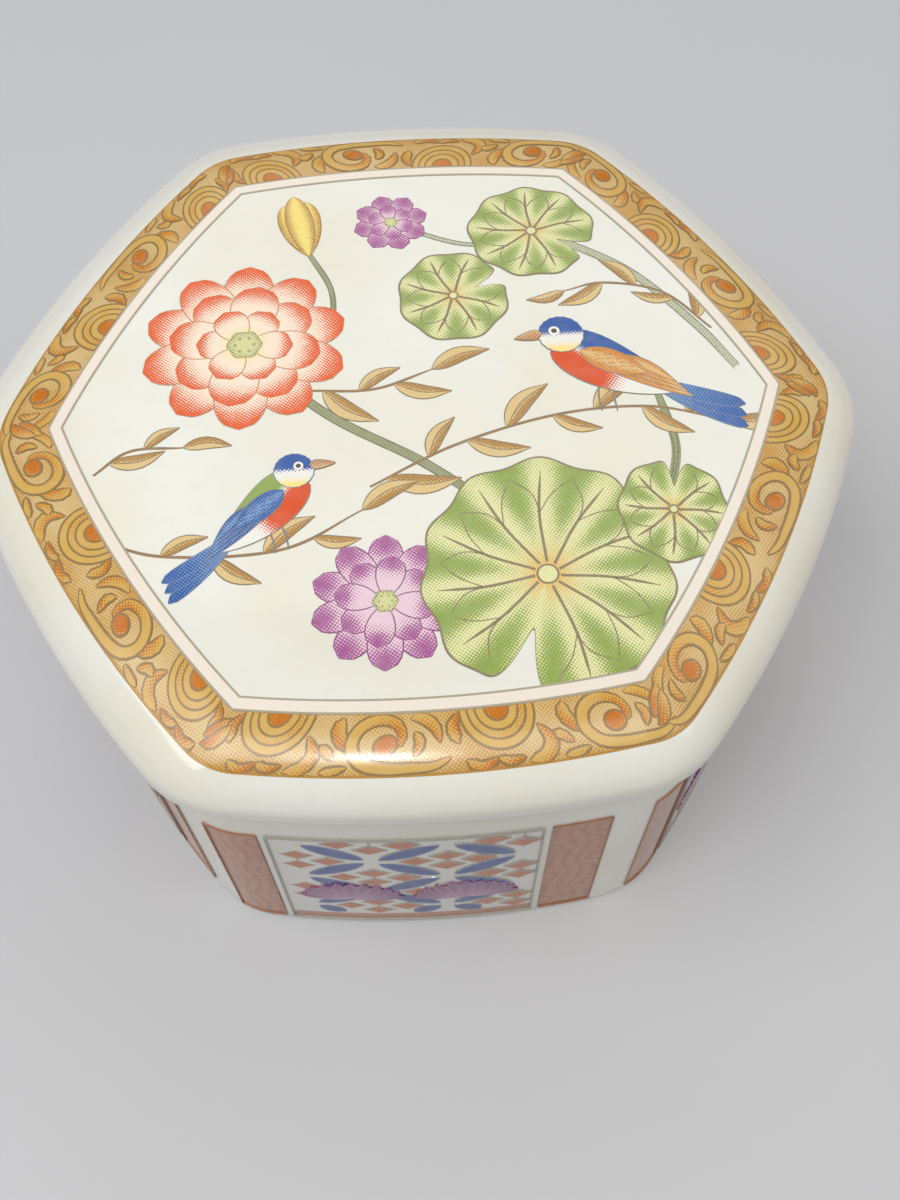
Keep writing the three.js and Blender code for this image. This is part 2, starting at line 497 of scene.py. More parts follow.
@cache
def enamel_material():
    """Printed enamel: the paint attribute under halftone dots of the ink attribute, whose share
    of the surface is the cover attribute. The art attribute holds each point's drawing place."""
    nodes = Nodes("printed_enamel")
    art = nodes.attribute("art", "Vector")
    turned = {"Vector": art, "Angle": HALFTONE_ANGLE}
    screen = nodes.add("VectorRotate", turned, rotation_type="Z_AXIS")
    axes = nodes.add("SeparateXYZ", {"Vector": screen.outputs[0]})
    turns = 2 * math.pi / HALFTONE_PITCH
    first = nodes.math("COSINE", nodes.math("MULTIPLY", axes.outputs[0], turns))
    second = nodes.math("COSINE", nodes.math("MULTIPLY", axes.outputs[1], turns))
    dots = nodes.scaled(nodes.math("ADD", first, second), 0.25, 0.5)
    grain = nodes.noise(art, 1.6, 3.0)
    cover = nodes.ramp(nodes.attribute("cover", "Fac"), 0.0, 1.0, smooth=False)
    cover.node.inputs["To Min"].default_value = -HALFTONE_SOFT
    cover.node.inputs["To Max"].default_value = 1 + HALFTONE_SOFT
    wobble = nodes.math("MULTIPLY", nodes.math("SUBTRACT", grain, 0.5), 0.35)
    inked = nodes.math("ADD", nodes.math("SUBTRACT", cover, dots), wobble)
    inked = nodes.ramp(inked, -HALFTONE_SOFT, HALFTONE_SOFT)
    colour = nodes.mix(inked, nodes.attribute("paint", "Color"), nodes.attribute("ink", "Color"))
    fade = nodes.ramp(nodes.noise(art, 0.45, 4.0), 0.35, 0.8)
    colour = nodes.mix(nodes.math("MULTIPLY", fade, 0.07), colour, opaque(GLAZE))
    speckle = nodes.noise(art, 7.0, 2.0)
    relief = nodes.math("ADD", nodes.scaled(speckle, 0.5, 0.0), nodes.math("MULTIPLY", inked, 0.3))
    roughness = nodes.scaled(speckle, 0.12, ENAMEL_ROUGHNESS)
    normal = nodes.bump(relief, 0.25, RELIEF_DEPTH)
    nodes.shade(Base_Color=colour, Roughness=roughness, Normal=normal, IOR=ENAMEL_IOR)
    nodes.shade(Coat_Weight=0.12, Coat_Roughness=0.04)
    return nodes.material


# ---- Enamel shapes ----

def smooth(points, spacing=ROW_SPACING):
    """Evenly spaced points on a smooth curve through the given ones."""
    points = np.array(points, float)
    padded = np.vstack([2 * points[0] - points[1], points, 2 * points[-1] - points[-2]])
    share = np.linspace(0, 1, CURVE_STEPS, endpoint=False)[:, None]
    parts = []
    for a, b, c, d in zip(padded, padded[1:], padded[2:], padded[3:]):
        slope = (c - a) * share
        bend = (2 * a - 5 * b + 4 * c - d) * share ** 2
        twist = (3 * b - a - 3 * c + d) * share ** 3
        parts.append((2 * b + slope + bend + twist) / 2)
    fine = np.vstack([*parts, padded[-2:-1]])
    travelled = np.concatenate([[0], np.cumsum(np.hypot(*np.diff(fine, axis=0).T))])
    count = max(int(travelled[-1] / spacing) + 1, FEWEST_ROWS)
    even = np.linspace(0, travelled[-1], count)
    return np.column_stack([np.interp(even, travelled, fine[:, axis]) for axis in (0, 1)])


def left_of(path):
    """Unit vectors to the left of each point's heading."""
    heading = np.gradient(path, axis=0)
    heading /= np.maximum(np.hypot(*heading.T), TINY)[:, None]
    return np.column_stack([-heading[:, 1], heading[:, 0]])


def swell(u, base, tip):
    """A width from 0 to 1 and back. Small powers give blunt ends and large ones pointed ends."""
    peak = base / (base + tip)
    return u ** base * (1 - u) ** tip / (peak ** base * (1 - peak) ** tip)


def step(low, high, value):
    """0 below low, 1 above high, and a smooth rise between."""
    share = np.clip((value - low) / (high - low), 0, 1)
    return share * share * (3 - 2 * share)


def tint(paint, ink=None, cover=None, second=None, blend=None):
    """Colours of a shape. cover is the share of ink in dots over the paint, and blend is the share
    of a second paint. Both take (u, v, x, y): u and v are the place along and across the shape,
    and x and y the place on the drawing."""
    def colours(u, v, x, y):
        count = len(u)
        share = np.zeros(count) if blend is None else np.clip(blend(u, v, x, y), 0, 1)
        other = paint if second is None else second
        mixed = paint * (1 - share[:, None]) + other * share[:, None]
        covered = np.zeros(count) if cover is None else np.clip(cover(u, v, x, y), 0, 1)
        return mixed, np.tile(paint if ink is None else ink, (count, 1)), covered
    return colours


class Enamel:
    """Thin shapes of fired enamel, gathered into one mesh piece."""

    def __init__(self, name, place, body, level=0, level_step=LEVEL_STEP):
        self.name = name
        self.place = place
        self.body = body
        self.level = level
        self.level_step = level_step
        self.points = []
        self.faces = []
        self.colours = []
        self.count = 0

    def add(self, flat, u, v, faces, loops, tint_of):
        """Adds one closed thin solid. flat holds its points on the drawing plane, and each loop is
        a border whose inside lies to its left."""
        area = sum(cross_area(flat[loop]) for loop in loops)
        if area < 0:
            faces = [face[::-1] for face in faces]
            loops = [loop[::-1] for loop in loops]
        top = flat.copy()
        for loop in loops:
            top[loop] += inward(flat[loop]) * SKIRT
        count = len(flat)
        rise = ENAMEL_LIFT + self.level * self.level_step
        self.points.append(self.place(top[:, 0], top[:, 1], np.full(count, rise)))
        self.points.append(self.place(flat[:, 0], flat[:, 1], np.full(count, -SINK)))
        start = self.count
        self.faces += [tuple(start + i for i in face) for face in faces]
        under = start + count
        self.faces += [tuple(under + i for i in face[::-1]) for face in faces]
        for loop in loops:
            for a, b in zip(loop, np.roll(loop, -1)):
                self.faces.append((start + a, under + a, under + b, start + b))
        self.count += 2 * count
        paint, ink, cover = tint_of(u, v, flat[:, 0], flat[:, 1])
        art = np.column_stack([flat, np.zeros(count)])
        for _ in range(2):
            self.colours.append((paint, ink, cover, art))

    def grid(self, x, y, u, v, tint_of):
        """A sheet of rows and columns."""
        rows, columns = x.shape
        flat = np.column_stack([x.ravel(), y.ravel()])
        index = np.arange(rows * columns).reshape(rows, columns)
        corners = [index[:-1, :-1], index[1:, :-1], index[1:, 1:], index[:-1, 1:]]
        faces = np.stack([c.ravel() for c in corners], 1).tolist()
        loop = np.concatenate([index[:, 0], index[-1, 1:], index[-2::-1, -1], index[0, -2:0:-1]])
        self.add(flat, u.ravel(), v.ravel(), faces, [loop], tint_of)

    def ring(self, inner, outer, tint_of, columns=2):
        """A closed band between two loops of points."""
        share = np.linspace(0, 1, columns)
        sheet = inner[:, None] + (outer - inner)[:, None] * share[None, :, None]
        steps = len(inner)
        index = np.arange(steps * columns).reshape(steps, columns)
        after = np.roll(index, -1, axis=0)
        corners = [index[:, :-1], index[:, 1:], after[:, 1:], after[:, :-1]]
        faces = np.stack([c.ravel() for c in corners], 1).tolist()
        u = np.repeat(np.arange(steps) / steps, columns)
        v = np.tile(share, steps)
        loops = [index[:, -1], index[::-1, 0]]
        self.add(sheet.reshape(-1, 2), u, v, faces, loops, tint_of)

    def disc(self, centre, radius_at, tint_of, rings=8, steps=72, pen=None):
        """A round shape whose edge lies at radius_at(angle) from its centre. A pen draws the edge,
        and is a line's colour and width."""
        angles = 2 * math.pi * np.arange(steps) / steps
        edge = radius_at(angles)
        flat = [np.array([centre], float)]
        for k in range(1, rings + 1):
            reach = edge * k / rings
            along = np.column_stack([np.cos(angles), np.sin(angles)])
            flat.append(np.array(centre) + reach[:, None] * along)
        faces = [(0, 1 + j, 1 + (j + 1) % steps) for j in range(steps)]
        for k in range(rings - 1):
            low = 1 + k * steps
            for j in range(steps):
                after = (j + 1) % steps
                faces.append((low + j, low + steps + j, low + steps + after, low + after))
        u = np.concatenate([[0], np.repeat(np.arange(1, rings + 1) / rings, steps)])
        v = np.concatenate([[0], np.tile(angles, rings)])
        border = 1 + (rings - 1) * steps + np.arange(steps)
        self.add(np.vstack(flat), u, v, faces, [border], tint_of)
        if pen is not None:
            colour, width = pen
            rim = flat[-1]
            away = rim - np.array(centre)
            away /= np.hypot(*away.T)[:, None]
            self.over()
            self.ring(rim - away * width / 2, rim + away * width / 2, tint(colour))

    def blade(self, spine, half_width, tint_of, base=0.8, tip=0.8, columns=7, pen=None):
        """A leaf, petal or feather along a spine. base and tip are the powers that swell takes."""
        path = smooth(spine)
        u = np.linspace(0, 1, len(path))
        width = np.maximum(half_width * swell(u, base, tip), NARROWEST)
        v = np.linspace(-1, 1, columns)
        across = left_of(path)
        sheet = path[:, None] + across[:, None] * (width[:, None] * v)[..., None]
        u_grid, v_grid = np.meshgrid(u, v, indexing="ij")
        self.grid(sheet[..., 0], sheet[..., 1], u_grid, v_grid, tint_of)
        if pen is not None:
            self.over()
            for edge in (sheet[:, -1], sheet[:, 0]):
                self.stroke(edge, *pen, smoothed=False)

    def stroke(self, path, colour, width, ends=(0.5, 0.5), smoothed=True, ink=None, cover=0.0):
        """A drawn line. ends are the shares of its width at its two ends, and it comes to its
        full width within the FADE share of its length."""
        path = smooth(path) if smoothed else np.asarray(path)
        u = np.linspace(0, 1, len(path))
        fading = np.minimum(ends[0] + (1 - ends[0]) * u / FADE, ends[1] + (1 - ends[1]) * (1 - u) / FADE)
        half = np.maximum(width / 2 * np.minimum(fading, 1), NARROWEST)
        across = left_of(path) * half[:, None]
        sheet = np.stack([path - across, path + across], 1)
        u_grid, v_grid = np.meshgrid(u, np.array([-1.0, 1.0]), indexing="ij")
        shaded = tint(colour, ink, lambda u, v, x, y: np.full(len(u), cover))
        self.grid(sheet[..., 0], sheet[..., 1], u_grid, v_grid, shaded)

    def over(self, levels=1):
        """The next shapes lie over the ones drawn so far."""
        self.level += levels

    def finish(self):
        piece = mesh_object(self.name, np.vstack(self.points), self.faces)
        mesh = piece.data
        paint, ink, cover, art = (np.concatenate(part) for part in zip(*self.colours))
        for name, values in (("paint", paint), ("ink", ink)):
            layer = mesh.color_attributes.new(name, "FLOAT_COLOR", "POINT")
            rgba = np.column_stack([values, np.ones(len(values))])
            layer.data.foreach_set("color", rgba.astype(np.float32).ravel())
        layer = mesh.attributes.new("cover", "FLOAT", "POINT")
        layer.data.foreach_set("value", cover.astype(np.float32))
        layer = mesh.attributes.new("art", "FLOAT_VECTOR", "POINT")
        layer.data.foreach_set("vector", art.astype(np.float32).ravel())
        mesh.materials.append(enamel_material())
        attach(piece, self.body)
        return piece


def cross_area(loop):
    after = np.roll(loop, -1, axis=0)
    return float(np.sum(loop[:, 0] * after[:, 1] - loop[:, 1] * after[:, 0])) / 2


def inward(loop):
    """Unit vectors into the shape at each point of a border whose inside lies to its left."""
    edge = np.roll(loop, -1, axis=0) - loop
    normal = np.column_stack([-edge[:, 1], edge[:, 0]])
    normal /= np.maximum(np.hypot(*normal.T), TINY)[:, None]
    both = normal + np.roll(normal, 1, axis=0)
    return both / np.maximum(np.hypot(*both.T), 0.5)[:, None]


# ---- Where the drawings lie ----

def on_lid(x, y, rise):
    """Lays the lid's drawing, and a rise above the glaze, on the lid. The drawing is a little off
    centre and turned, as a hand-laid transfer is."""
    cos, sin = math.cos(DECAL_TURN), math.sin(DECAL_TURN)
    lid_x = DECAL_SHIFT[0] + cos * x - sin * y
    lid_y = DECAL_SHIFT[1] + sin * x + cos * y

    def height_at(x, y):
        return lid_height(LID_OUTLINE.reach_at(x, y))

    height = height_at(lid_x, lid_y)
    slope_x = (height_at(lid_x + SLOPE_STEP, lid_y) - height) / SLOPE_STEP
    slope_y = (height_at(lid_x, lid_y + SLOPE_STEP) - height) / SLOPE_STEP
    length = np.sqrt(slope_x ** 2 + slope_y ** 2 + 1)
    place = [lid_x - slope_x * rise / length, lid_y - slope_y * rise / length, height + rise / length]
    return np.column_stack(place) * MM


def in_field(x, y, rise):
    """As on_lid, with what passes the field's edge held back to it."""
    angle = np.arctan2(x, -y)
    distance = np.hypot(x, y)
    held = np.minimum(1, FIELD_OUTLINE.radius(angle) / np.maximum(distance, TINY))
    return on_lid(x * held, y * held, rise)


def along_band(side):
    """Lays a drawing along one side of the lid's band: x along it, y inward from its outer edge.
    What passes the band's two edges is held back to them."""
    def place(x, y, rise):
        y = np.clip(y, BAND_MARGIN, BAND_WIDTH - BAND_MARGIN)
        angle = side * SECTOR + np.arctan2(x, FRAME_EDGE)
        inner = FRAME_OUTLINE.radius(angle)
        outer = BAND_OUTLINE.radius(angle)
        radius = inner + (outer - inner) * (1 - y / BAND_WIDTH)
        return on_lid(radius * np.sin(angle), -radius * np.cos(angle), rise)
    return place


def on_wall(side, shift):
    """Lays a panel's drawing on one wall of the base: x along the wall, y up from the foot."""
    def place(x, y, rise):
        angle = side * SECTOR + np.arctan2(x + shift, BASE_REACH)
        radius = LID_OUTLINE.radius(angle, BASE_REACH + rise)
        return np.column_stack([radius * np.sin(angle), -radius * np.cos(angle), y]) * MM
    return place


# ---- Tints that several drawings share ----

def petal_tint(start):
    """Yellow at the base, peach in the middle and orange-red towards the tip and the edges."""
    def cover(u, v, x, y):
        edges = step(0.5, 1.0, np.abs(v)) * step(0.2, 0.7, u)
        return 0.95 * step(start - 0.15, 1.08, u) + 0.2 * edges
    return tint(YELLOW, LOTUS_RED, cover, second=PEACH, blend=lambda u, v, x, y: step(0.05, 0.5, u))


def leaf_tint(dark_side):
    """A dry leaf, darker on one half."""
    def cover(u, v, x, y):
        return 0.18 + 0.6 * step(-0.1, 0.5, dark_side * v) + 0.2 * step(0.7, 1.0, u)
    return tint(LEAF_GOLD, LEAF_BROWN, cover)


def purple_tint(start):
    """Pale purple, darker towards the tip."""
    def cover(u, v, x, y):
        return 0.15 + 0.8 * step(start, 0.9, u) * (1 - 0.4 * np.abs(v))
    return tint(PALE_PURPLE, PURPLE, cover)


def flat_tint(paint, ink=None, share=0.0):
    return tint(paint, ink, lambda u, v, x, y: np.full(len(u), share))


def circle(radius):
    """The edge of a plain round disc."""
    return lambda angle: np.full(len(angle), radius)


def leaf(art, spine, half_width, dark_side):
    """A dry leaf with an outline and a midrib."""
    art.blade(spine, half_width, leaf_tint(dark_side), tip=1.1, pen=(DARK_LINE, FINE_LINE))
    art.stroke(spine, DARK_LINE, FINE_LINE)
    art.over()


def hatching(art, start, end, count, length, lean, colour, width, seed):
    """Short strokes side by side from start to end, each leaning the same way."""
    random = np.random.default_rng(seed)
    for share in np.linspace(0, 1, count):
        x = start[0] + (end[0] - start[0]) * share
        y = start[1] + (end[1] - start[1]) * share
        reach = length * random.uniform(0.7, 1.15)
        turn = lean + random.uniform(-0.12, 0.12)
        bend = turn + 0.25
        middle = (x + reach / 2 * math.cos(bend), y + reach / 2 * math.sin(bend))
        tip = (x + reach * math.cos(turn), y + reach * math.sin(turn))
        art.stroke([(x, y), middle, tip], colour, width, (1.0, 0.3))


# ---- The lid's field: plain flowers, round leaves, twigs and two songbirds, all by rule ----

TWIG_WIDTH = 0.42
VEIN_WIDTH = 0.38
SEEDS = 6
LEAF_ANGLE = 0.55
LEAF_BEND = 0.1
LEAF_SHARE = 0.15
BUD_ROOT = (-12.0, 24.0)
BUD_TURN = 1.75
GREEN_STEMS = (
    # path, width, colour
    ([(-19.0, 8.0), (-10.0, -1.0), (0.0, -8.0), (8.0, -15.0)], 1.2, STEM_GREEN),
    ([(-12.0, 24.4), (-9.4, 18.0), (-10.0, 12.0), (-14.0, 8.0)], 0.8, STEM_GREEN),
    ([(-2.0, 29.0), (6.0, 25.0), (12.0, 24.0)], 0.7, STEM_PALE),
    ([(17.0, 26.0), (27.0, 19.0), (34.0, 10.0), (38.0, 3.0)], 1.2, STEM_PALE),
    ([(27.0, -15.0), (29.0, -8.0), (28.0, 0.0)], 1.1, STEM_GREEN),
)
SPRAYS = (
    # twig, leaves, leaf length
    ([(-37.0, -15.0), (-29.0, -18.2), (-16.0, -18.4), (-7.0, -14.0)], 5, 7.6),
    ([(-6.0, -11.0), (4.0, -6.0), (16.0, -2.6), (27.0, -2.2), (36.0, -5.0)], 8, 8.5),
    ([(-13.0, 3.0), (-5.0, 2.6), (2.0, 5.0)], 3, 8.0),
    ([(36.0, 9.0), (31.0, 15.0), (24.0, 17.0), (19.0, 16.0)], 4, 7.0),
    ([(-37.0, -7.0), (-33.0, -4.0), (-27.0, -4.0)], 2, 6.5),
)
# Rings of petals: count, length, half width
ORANGE_RINGS = ((10, 12.4, 3.1), (8, 9.2, 2.9), (6, 5.8, 2.1))
PURPLE_RINGS = ((10, 8.2, 1.9), (8, 5.6, 1.6))
SMALL_RINGS = ((8, 4.8, 1.4), (6, 3.0, 1.0))
FLOWERS = (
    # name, centre, rings, tint, line, pod radius, level
    ("small", (-1.6, 29.0), SMALL_RINGS, purple_tint(0.1), PURPLE * 0.8, 0.8, 12),
    ("purple", (-5.0, -25.6), PURPLE_RINGS, purple_tint(0.4), PURPLE * 0.75, 1.3, 12),
    ("orange", (-20.0, 10.4), ORANGE_RINGS, petal_tint(0.62), PETAL_LINE, 2.0, 20),
)
LILY_PADS = (
    # centre, radius, height over width, lobes, turn of the notch, level
    ((5.4, 16.2), 6.6, 1.05, 8, 0.4, 14),
    ((16.0, 26.2), 7.8, 0.95, 9, -0.5, 20),
    ((12.6, -23.6), 13.4, 1.1, 11, -1.9, 22),
    ((27.4, -16.4), 6.0, 1.1, 8, 1.4, 29),
)
SONGBIRDS = (
    # centre, size, facing, lean, back, wing, ink on the wing
    ((-17.8, -13.2), 8.4, 1, 0.3, LEAF_GREEN, SOFT_BLUE, BLUE),
    ((23.0, 4.2), 10.0, -1, 0.08, BLUE, LEAF_GOLD, ORANGE),
)


def green_stems():
    """Green stems with a line down each side, and the brown twigs over them."""
    art = Enamel("enamel_stems", in_field, "lid")
    for path, width, colour in GREEN_STEMS:
        art.stroke(path, colour, width, (0.9, 0.8), ink=STEM_SHADE, cover=0.35)
    art.over()
    for path, width, _ in GREEN_STEMS:
        for shift in (-0.45 * width, 0.45 * width):
            art.stroke([(x + 0.6 * shift, y + 0.8 * shift) for x, y in path], STEM_SHADE, FINE_LINE)
    art.over()
    for path, _, _ in SPRAYS:
        art.stroke(path, DARK_LINE, TWIG_WIDTH, (0.8, 0.5), ink=LEAF_BROWN, cover=0.4)
    return art.finish()


def spray(art, path, count, length):
    """Dry leaves that leave a twig on alternate sides, and one at its end."""
    twig = smooth(path)
    heading = np.gradient(twig, axis=0)
    low = art.level
    for k in range(count + 1):
        at = int((len(twig) - 1) * (k + 0.5) / (count + 0.5))
        side = 0 if k == count else (1 if k % 2 else -1)
        turn = math.atan2(heading[at, 1], heading[at, 0]) + side * LEAF_ANGLE
        reach = length * (0.85 + 0.15 * math.cos(2.4 * k))
        tip = twig[at] + reach * np.array([math.cos(turn), math.sin(turn)])
        aside = np.array([-math.sin(turn), math.cos(turn)]) * (side or 1)
        middle = (twig[at] + tip) / 2 + LEAF_BEND * reach * aside
        art.level = low + 3 * (k % 2)
        leaf(art, [twig[at], middle, tip], LEAF_SHARE * reach, -1 if k % 2 else 1)
    art.level = low


def dry_leaves():
    art = Enamel("enamel_leaves", in_field, "lid", level=LEAF_LEVEL)
    for path, count, length in SPRAYS:
        spray(art, path, count, length)
    return art.finish()


def rosette(art, centre, rings, tint_of, line, turned=0.0):
    """A flower seen from above: rings of equal petals, each ring's odd petals over its even ones.
    Each ring is turned half a petal from the one before."""
    for count, length, half_width in rings:
        for first in (0, 1):
            low = art.level
            for k in range(first, count, 2):
                turn = turned + 2 * math.pi * k / count
                along = np.array([math.cos(turn), math.sin(turn)])
                art.level = low
                spine = [centre + share * length * along for share in (0.08, 0.5, 1.0)]
                art.blade(spine, half_width, tint_of, 0.75, 0.5, columns=9, pen=(line, FINE_LINE))
            art.level = low + 2
        turned += math.pi / count


def seed_pod(art, centre, radius):
    """The round middle of a flower, with a ring of seeds."""
    pod = tint(POD, STEM_SHADE, lambda u, v, x, y: 0.1 + 0.4 * step(0.5, 1.0, u))

    def lobed(angle):
        return radius * (1 + 0.06 * np.cos(SEEDS * angle))

    art.disc(centre, lobed, pod, rings=4, steps=48, pen=(STEM_GREEN, FINE_LINE))
    art.over()
    for k in range(SEEDS):
        turn = 2 * math.pi * k / SEEDS
        at = (centre[0] + 0.55 * radius * math.cos(turn), centre[1] + 0.55 * radius * math.sin(turn))
        art.disc(at, circle(0.12 * radius), flat_tint(STEM_GREEN), rings=2, steps=16)


def flower(name, centre, rings, tint_of, line, pod, level):
    """Rings of petals round a seed pod."""
    art = Enamel(name, in_field, "lid", level=level)
    rosette(art, np.array(centre), rings, tint_of, line, turned=0.26)
    seed_pod(art, centre, pod)
    return art.finish()


def bud():
    """A closed golden bud: two outer petals and one between them."""
    art = Enamel("enamel_bud", in_field, "lid", level=BUD_LEVEL)
    gold = tint(YELLOW, LEAF_BROWN, lambda u, v, x, y: 0.15 + 0.5 * step(0.1, 1.0, np.abs(v)))
    root = np.array(BUD_ROOT)
    for lean, reach in ((-0.16, 9.4), (0.16, 9.4), (0.0, 10.6)):
        turn = BUD_TURN + lean
        along = np.array([math.cos(turn), math.sin(turn)])
        spine = [root, root + 0.5 * reach * along, root + reach * along]
        art.blade(spine, 1.7, gold, 0.8, 0.6, columns=9, pen=(LEAF_BROWN, FINE_LINE))
        art.over()
    return art.finish()


def lily_pad(name, centre, radius, squash, lobes, turn, level):
    """A round floating leaf: an evenly scalloped edge with one notch, and a vein to each lobe."""
    art = Enamel(name, in_field, "lid", level=level)

    def edge(angle):
        oval = radius / np.hypot(np.cos(angle), np.sin(angle) / squash)
        from_notch = np.remainder(angle - turn + math.pi, 2 * math.pi) - math.pi
        notch = 1 - 0.55 * np.exp(-(from_notch / 0.13) ** 2)
        return oval * notch * (1 + 0.03 * np.cos(lobes * (angle - turn)))

    def cover(u, v, x, y):
        between = 0.5 - 0.5 * np.cos(lobes * (v - turn))
        return 0.22 + 0.62 * between * step(0.12, 0.7, u) + 0.12 * step(0.8, 1.0, u)

    def point(share, angle):
        reach = share * float(edge(np.array(angle)))
        return (centre[0] + reach * math.cos(angle), centre[1] + reach * math.sin(angle))

    def glow(u, v, x, y):
        return np.exp(-(u / 0.2) ** 2)

    shaded = tint(LEAF_CREAM, LEAF_GREEN, cover, second=HALO, blend=glow)
    art.disc(centre, edge, shaded, rings=10 + int(radius), steps=24 * lobes, pen=(VEIN, LINE_WIDTH))
    art.over(2)
    for k in range(1, lobes):
        angle = turn + 2 * math.pi * k / lobes
        vein = [point(0.1, angle), point(0.5, angle + 0.06), point(0.88, angle)]
        art.stroke(vein, VEIN, VEIN_WIDTH, (1.0, 0.3))
        for way in (-1, 1):
            aside = angle + way * math.pi / lobes
            between = angle + 0.4 * way * math.pi / lobes
            fork = [point(0.52, angle + 0.05), point(0.7, between), point(0.9, aside)]
            art.stroke(fork, VEIN, FINE_LINE, (0.8, 0.3))
    art.over()
    hub = flat_tint(LEAF_CREAM, LEAF_GREEN, 0.2)
    art.disc(centre, circle(0.085 * radius), hub, rings=3, steps=40, pen=(VEIN, LINE_WIDTH))
    return art.finish()


def songbird(name, centre, size, facing, lean, back, wing_paint, wing_ink):
    """A plain small bird from the side. Its parts are placed in shares of its size, ahead of its
    middle and above it. facing is 1 for a bird that looks right and -1 for one that looks left."""
    art = Enamel(name, in_field, "lid", level=BIRD_LEVEL)
    cos, sin = math.cos(lean), math.sin(lean)

    def at(*points):
        placed = []
        for ahead, above in points:
            x = centre[0] + size * facing * (cos * ahead - sin * above)
            y = centre[1] + size * (sin * ahead + cos * above)
            placed.append((x, y))
        return placed

    for hip in (-0.08, 0.1):
        art.stroke(at((hip, -0.15), (hip + 0.05, -0.42), (hip + 0.02, -0.68)), GREY_LINE, 0.26)
    art.over()
    tail = tint(SOFT_BLUE, BLUE, lambda u, v, x, y: 0.3 + 0.5 * u)
    for drop in (0.16, 0.0, -0.16):
        spine = at((-0.5, -0.26), (-1.0, -0.5 - 0.5 * drop), (-1.55, -0.72 - drop))
        art.blade(spine, 0.1 * size, tail, 0.4, 0.35, pen=(GREY_BLUE, THIN_LINE))
        art.over()

    def breast(u, v, x, y):
        return 1.05 * step(0.2, -0.3, facing * v) * step(0.3, 0.6, u)

    def along_back(u, v, x, y):
        return step(-0.05, 0.3, facing * v)

    body = tint(FEATHER_WHITE, ORANGE_RED, breast, second=back, blend=along_back)
    spine = at((-0.78, -0.38), (-0.15, -0.1), (0.3, 0.16), (0.6, 0.4))
    art.blade(spine, 0.36 * size, body, 0.75, 0.35, columns=15, pen=FEATHER_PEN)
    art.over()
    feather = tint(wing_paint, wing_ink, lambda u, v, x, y: 0.3 + 0.5 * step(0.0, 1.0, np.abs(v)))
    for k in range(4):
        spine = at((0.2, 0.1), (-0.35, -0.17 + 0.06 * k), (-0.95 + 0.06 * k, -0.46 + 0.07 * k))
        art.blade(spine, 0.1 * size, feather, 0.5, 0.8, pen=FEATHER_PEN)
        art.over()
    spine = at((0.34, 0.2), (0.0, 0.06), (-0.42, -0.12))
    art.blade(spine, 0.17 * size, feather, 0.6, 0.7, columns=9, pen=FEATHER_PEN)
    art.over()
    to_tail = math.pi + lean if facing > 0 else -lean
    for k in range(4):
        start, end = at((0.2 - 0.14 * k, 0.2 - 0.06 * k), (0.14 - 0.14 * k, 0.0 - 0.05 * k))
        hatching(art, start, end, 4, 0.1 * size, to_tail, wing_ink * 0.8, THIN_LINE, seed=k)
    middle = at((0.56, 0.45))[0]
    radius = 0.27 * size

    def cap(u, v, x, y):
        return 1.1 * step(-0.25, 0.35, (y - middle[1]) / radius)

    def throat(u, v, x, y):
        return step(-0.3, -0.9, (y - middle[1]) / radius)

    def ruffled(angle):
        return radius * (1 + 0.012 * np.cos(19 * angle))

    head = tint(FEATHER_WHITE, BLUE, cap, second=YELLOW, blend=throat)
    art.over()
    art.disc(middle, ruffled, head, rings=10, steps=114, pen=(GREY_BLUE, THIN_LINE))
    art.over()
    beak = tint(LEAF_GOLD, RUST, lambda u, v, x, y: 0.6 + 0.2 * v)
    spine = at((0.78, 0.46), (0.93, 0.42), (1.12, 0.37))
    art.blade(spine, 0.075 * size, beak, 0.3, 0.9, pen=(DARK_LINE, THIN_LINE))
    eye = at((0.64, 0.5))[0]
    for share, paint in ((0.07, FEATHER_WHITE), (0.038, DARK_LINE * 0.4)):
        art.over()
        art.disc(eye, circle(share * size), flat_tint(paint), rings=3, steps=32)
    return art.finish()


def field():
    """The whole scene inside the frame."""
    green_stems()
    dry_leaves()
    bud()
    for name, *shape in FLOWERS:
        flower(f"enamel_{name}_flower", *shape)
    for k, shape in enumerate(LILY_PADS, 1):
        lily_pad(f"enamel_pad_{k}", *shape)
    for k, shape in enumerate(SONGBIRDS, 1):
        songbird(f"enamel_bird_{k}", *shape)


# ---- The lid's frame and gold band ----

def outline_loop(outline, steps=360):
    """Points of an outline, anticlockwise."""
    angles = 2 * math.pi * np.arange(steps) / steps
    radius = outline.radius(angles)
    return np.column_stack([radius * np.sin(angles), -radius * np.cos(angles)])


def frame_lines():
    """The pale strip round the field, with a line along each edge."""
    art = Enamel("enamel_frame", on_lid, "lid", level=FRAME_LEVEL)
    inner = outline_loop(FIELD_OUTLINE)
    outer = outline_loop(FRAME_OUTLINE)
    art.ring(inner, outer, flat_tint(STRIP))
    art.over(2)
    for loop in (inner, outer):
        share = LINE_WIDTH / 2 / np.hypot(*loop.T)[:, None]
        art.ring(loop * (1 - share), loop * (1 + share), flat_tint(FRAME_LINE))
    return art.finish()


